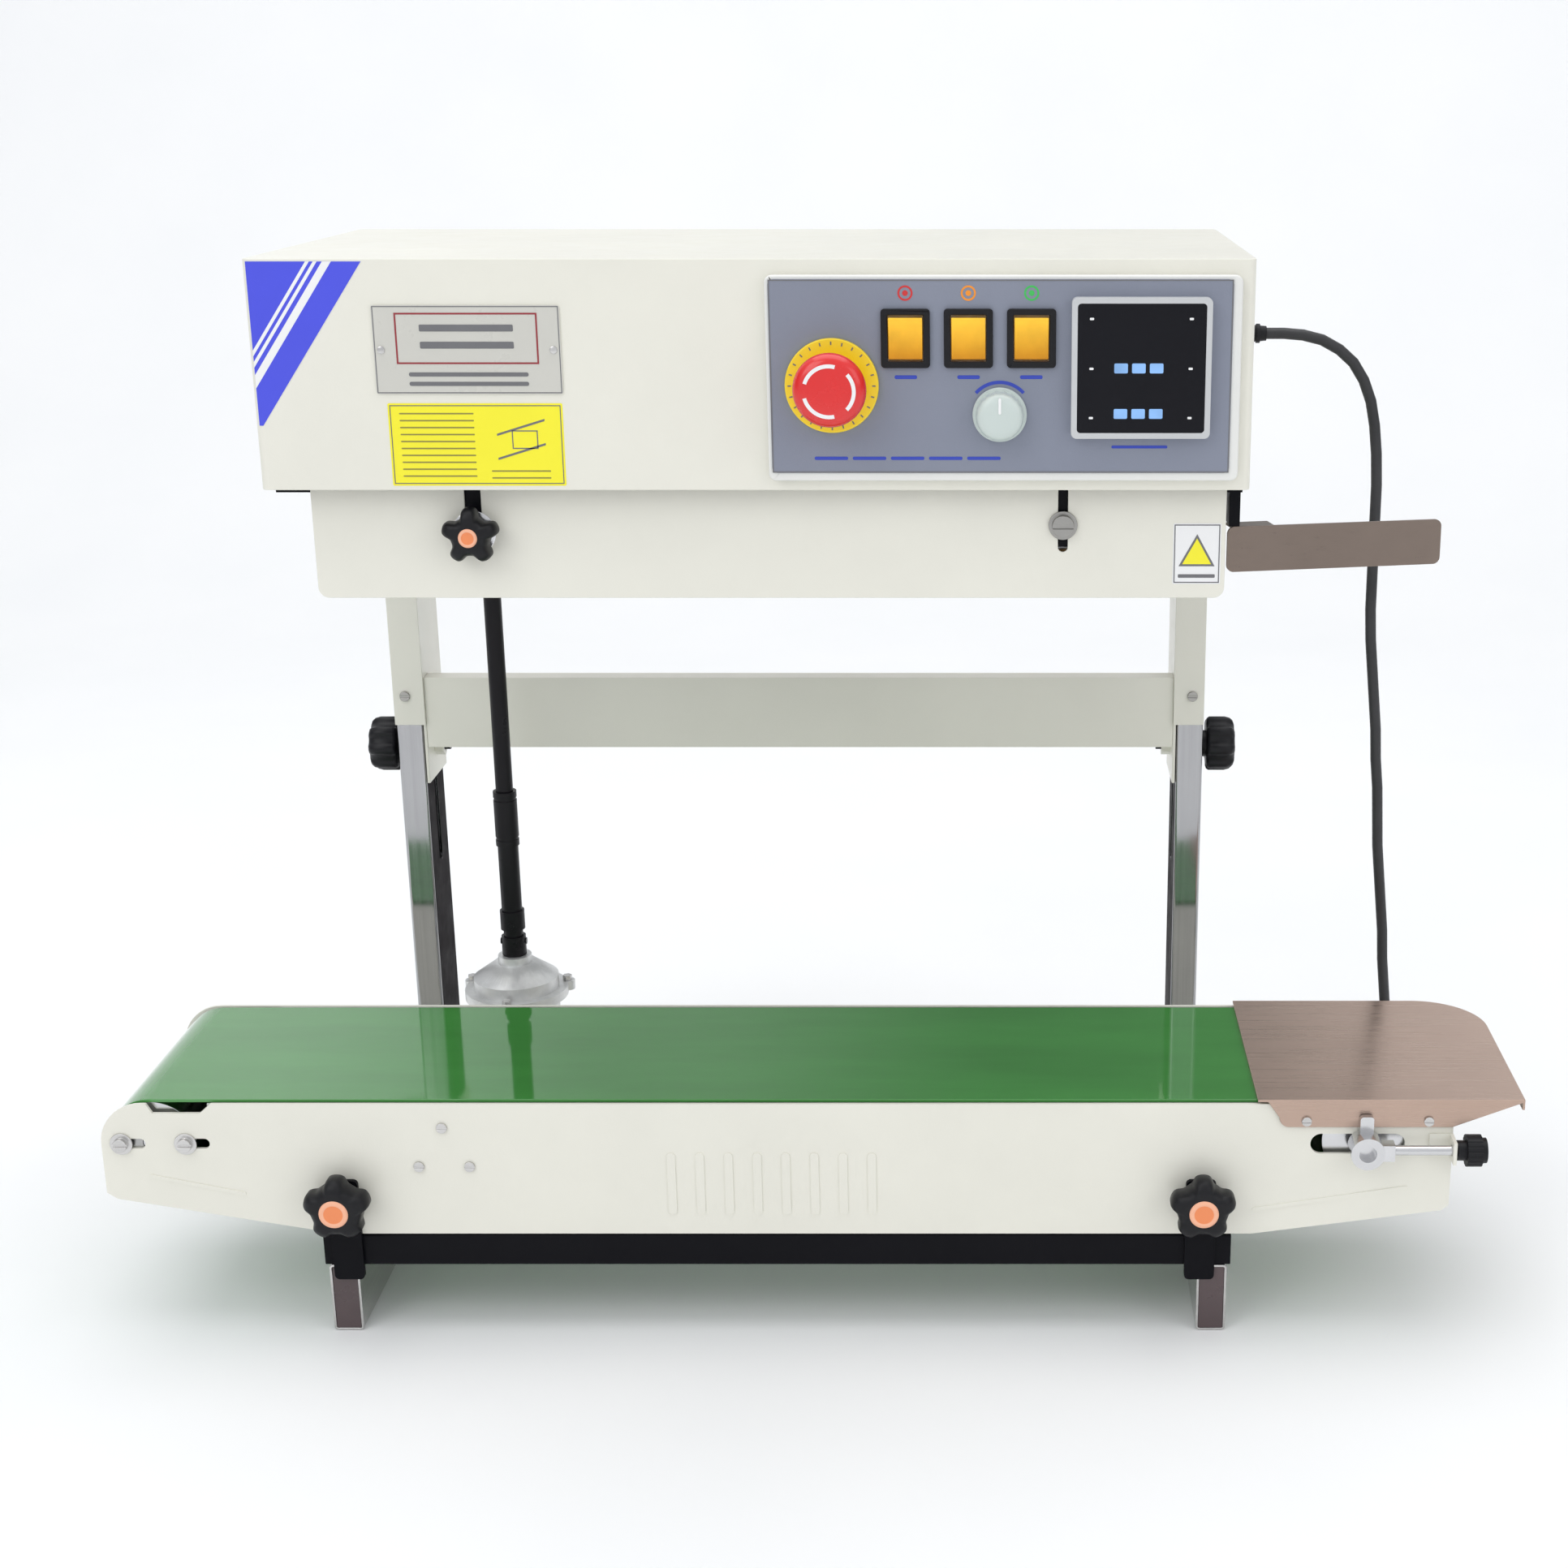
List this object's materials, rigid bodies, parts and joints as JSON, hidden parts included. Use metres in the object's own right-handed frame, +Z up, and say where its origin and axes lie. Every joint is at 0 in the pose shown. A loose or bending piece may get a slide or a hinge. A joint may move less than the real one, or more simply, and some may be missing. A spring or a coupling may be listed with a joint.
{
  "type": "continuous band sealer",
  "caption": "Bench-top vertical continuous band sealer: height-adjustable sealing head over a belt conveyor with infeed tray and cardan drive.",
  "frame": {"origin": "centre of the machine's bounding box, on the table under the feet", "axes": "+X along the conveyor towards the infeed tray, +Y from the operator's side to the rear, +Z up"},
  "size_m": [0.84, 0.37, 0.636],
  "materials": {
    "cream": "powder coat, semi-gloss",
    "stainless_tube": "polished stainless",
    "brushed_stainless": "brushed stainless",
    "black_steel": "black paint, satin",
    "black_plastic": "moulded, fine grain",
    "orange_cap": "smooth",
    "belt": "glossy coated fabric",
    "roller": "turned",
    "roller_rubber": "matt",
    "zinc": "zinc plated",
    "cast_alloy": "as cast",
    "black_shaft": "blackened",
    "motor": "satin",
    "panel_grey": "printed film",
    "yellow": "smooth",
    "red": "smooth",
    "amber": "lit, translucent",
    "knob_grey": "smooth",
    "meter": "grey bezel, dark window",
    "plates": "brushed plate and printed films",
    "band": "coated glass cloth",
    "brass": "machined",
    "alu": "machined",
    "cord": "matt",
    "plug": "moulded"
  },
  "bodies": {
    "frame": {"foot_tubes": "stainless_tube", "foot_plugs": "black_plastic", "upright_posts": "stainless_tube", "front_bar": "black_steel", "knob_brackets": "black_steel", "conveyor_front_plate": "cream", "conveyor_rear_plate": "cream", "slider_bed": "zinc", "conveyor_belt": "belt", "roller_bearings": "zinc", "conveyor_screws": "zinc", "infeed_tray": "brushed_stainless", "gearbox_housing": "cast_alloy", "power_cord": "cord", "cord_coil": "cord", "cord_plug": "plug"},
    "head": {"upright_channels": "cream", "head_screws": "zinc", "cross_beam": "cream", "head_housing": "cream", "mechanism_plate": "zinc", "drive_motor": "motor", "panel_frame": "cream", "panel_plate": "panel_grey", "stop_ring": "yellow", "rocker_bezels": "black_plastic", "controller": "meter", "front_plates": "plates", "guide_rail": "brushed_stainless", "sealing_bands": "band", "heater_blocks": "brass", "cooling_blocks": "alu", "cord_gland": "black_plastic"},
    "foot_knob_left": {"foot_knob_left": "black_plastic", "foot_knob_left_cap": "orange_cap"},
    "foot_knob_right": {"foot_knob_right": "black_plastic", "foot_knob_right_cap": "orange_cap"},
    "end_roller": {"end_roller": "roller"},
    "drive_roller": {"drive_roller": "roller_rubber"},
    "tension_block": {"tension_block": "roller"},
    "tension_roller": {"tension_roller": "roller"},
    "tension_rod": {"tension_rod": "black_plastic"},
    "lower_shaft": {"lower_shaft": "black_shaft"},
    "upper_shaft": {"upper_shaft": "black_shaft"},
    "side_knob_left": {"side_knob_left": "black_plastic"},
    "side_knob_right": {"side_knob_right": "black_plastic"},
    "lower_cover": {"lower_cover": "cream"},
    "cover_knob": {"cover_knob": "black_plastic", "cover_knob_cap": "orange_cap"},
    "stop_button": {"stop_button": "red"},
    "rocker_power": {"rocker_power": "amber"},
    "rocker_heat": {"rocker_heat": "amber"},
    "rocker_fan": {"rocker_fan": "amber"},
    "speed_knob": {"speed_knob": "knob_grey"},
    "front_drive_wheel": {"front_drive_wheel": "roller"},
    "rear_drive_wheel": {"rear_drive_wheel": "roller"},
    "front_idler_wheel": {"front_idler_wheel": "roller"},
    "rear_idler_wheel": {"rear_idler_wheel": "roller"},
    "front_press_wheel": {"front_press_wheel": "roller"},
    "rear_press_wheel": {"rear_press_wheel": "roller"}
  },
  "joints": [
    {"name": "head_lift", "type": "slide", "parent": "frame", "child": "head", "axis": [0, 0, 1], "range_m": [-0.075, 0.01]},
    {"name": "foot_knob_left_turn", "type": "hinge", "parent": "frame", "child": "foot_knob_left", "pos_m": [-0.279, -0.16, 0.09], "axis": [0, 1, 0], "continuous": true},
    {"name": "foot_knob_right_turn", "type": "hinge", "parent": "frame", "child": "foot_knob_right", "pos_m": [0.231, -0.16, 0.09], "axis": [0, 1, 0], "continuous": true},
    {"name": "end_roller_spin", "type": "hinge", "parent": "frame", "child": "end_roller", "pos_m": [-0.39, -0.075, 0.124], "axis": [0, 1, 0], "continuous": true},
    {"name": "drive_roller_spin", "type": "hinge", "parent": "frame", "child": "drive_roller", "pos_m": [-0.216, -0.075, 0.1183], "axis": [0, 1, 0], "continuous": true},
    {"name": "belt_tension", "type": "slide", "parent": "frame", "child": "tension_block", "axis": [1, 0, 0], "range_m": [-0.006, 0]},
    {"name": "tension_roller_spin", "type": "hinge", "parent": "tension_block", "child": "tension_roller", "pos_m": [0.327, -0.075, 0.124], "axis": [0, 1, 0], "continuous": true},
    {"name": "tension_knob_turn", "type": "hinge", "parent": "frame", "child": "tension_rod", "pos_m": [0.37, -0.159, 0.124], "axis": [1, 0, 0], "range_deg": [-1720, 0]},
    {"name": "lower_shaft_spin", "type": "hinge", "parent": "frame", "child": "lower_shaft", "pos_m": [-0.212, 0.05, 0.2], "axis": [0, 0, 1], "continuous": true},
    {"name": "upper_shaft_spin", "type": "hinge", "parent": "head", "child": "upper_shaft", "pos_m": [-0.212, 0.05, 0.4], "axis": [0, 0, 1], "continuous": true},
    {"name": "side_knob_left_turn", "type": "hinge", "parent": "head", "child": "side_knob_left", "pos_m": [-0.3, 0.121, 0.293], "axis": [1, 0, 0], "continuous": true},
    {"name": "side_knob_right_turn", "type": "hinge", "parent": "head", "child": "side_knob_right", "pos_m": [0.256, 0.121, 0.293], "axis": [1, 0, 0], "continuous": true},
    {"name": "lower_cover_slide", "type": "slide", "parent": "head", "child": "lower_cover", "axis": [0, 0, 1], "range_m": [-0.03, 0]},
    {"name": "cover_knob_turn", "type": "hinge", "parent": "head", "child": "cover_knob", "pos_m": [-0.179, -0.145, 0.487], "axis": [0, 1, 0], "continuous": true},
    {"name": "stop_push", "type": "slide", "parent": "head", "child": "stop_button", "axis": [0, 1, 0], "range_m": [0, 0.005], "stiffness_N_per_m": 400},
    {"name": "rocker_power_tilt", "type": "hinge", "parent": "head", "child": "rocker_power", "pos_m": [0.061, -0.157, 0.5953], "axis": [1, 0, 0], "range_deg": [-14, 0]},
    {"name": "rocker_heat_tilt", "type": "hinge", "parent": "head", "child": "rocker_heat", "pos_m": [0.0944, -0.157, 0.5953], "axis": [1, 0, 0], "range_deg": [-14, 0]},
    {"name": "rocker_fan_tilt", "type": "hinge", "parent": "head", "child": "rocker_fan", "pos_m": [0.1278, -0.157, 0.5953], "axis": [1, 0, 0], "range_deg": [-14, 0]},
    {"name": "speed_knob_turn", "type": "hinge", "parent": "head", "child": "speed_knob", "pos_m": [0.111, -0.16, 0.555], "axis": [0, 1, 0], "range_deg": [-135, 135]},
    {"name": "front_drive_wheel_spin", "type": "hinge", "parent": "head", "child": "front_drive_wheel", "pos_m": [0.137, -0.1005, 0.468], "axis": [0, 0, 1], "continuous": true},
    {"name": "rear_drive_wheel_spin", "type": "hinge", "parent": "head", "child": "rear_drive_wheel", "pos_m": [0.137, -0.0491, 0.468], "axis": [0, 0, 1], "continuous": true},
    {"name": "front_idler_wheel_spin", "type": "hinge", "parent": "head", "child": "front_idler_wheel", "pos_m": [-0.169, -0.1005, 0.468], "axis": [0, 0, 1], "continuous": true},
    {"name": "rear_idler_wheel_spin", "type": "hinge", "parent": "head", "child": "rear_idler_wheel", "pos_m": [-0.169, -0.0491, 0.468], "axis": [0, 0, 1], "continuous": true},
    {"name": "front_press_wheel_spin", "type": "hinge", "parent": "head", "child": "front_press_wheel", "pos_m": [-0.112, -0.0918, 0.468], "axis": [0, 0, 1], "continuous": true},
    {"name": "rear_press_wheel_spin", "type": "hinge", "parent": "head", "child": "rear_press_wheel", "pos_m": [-0.112, -0.0578, 0.468], "axis": [0, 0, 1], "continuous": true}
  ],
  "couplings": [
    {"joint": "drive_roller_spin", "follows": "end_roller_spin", "ratio": 1.295},
    {"joint": "tension_roller_spin", "follows": "end_roller_spin", "ratio": 1},
    {"joint": "lower_shaft_spin", "follows": "end_roller_spin", "ratio": 1.295},
    {"joint": "upper_shaft_spin", "follows": "end_roller_spin", "ratio": 1.295},
    {"joint": "front_drive_wheel_spin", "follows": "end_roller_spin", "ratio": -1},
    {"joint": "rear_drive_wheel_spin", "follows": "end_roller_spin", "ratio": 1},
    {"joint": "front_idler_wheel_spin", "follows": "end_roller_spin", "ratio": -1},
    {"joint": "rear_idler_wheel_spin", "follows": "end_roller_spin", "ratio": 1},
    {"joint": "front_press_wheel_spin", "follows": "end_roller_spin", "ratio": -1.534},
    {"joint": "rear_press_wheel_spin", "follows": "end_roller_spin", "ratio": 1.534},
    {"joint": "belt_tension", "follows": "tension_knob_turn", "m_per_rad": 0.00019894}
  ]
}
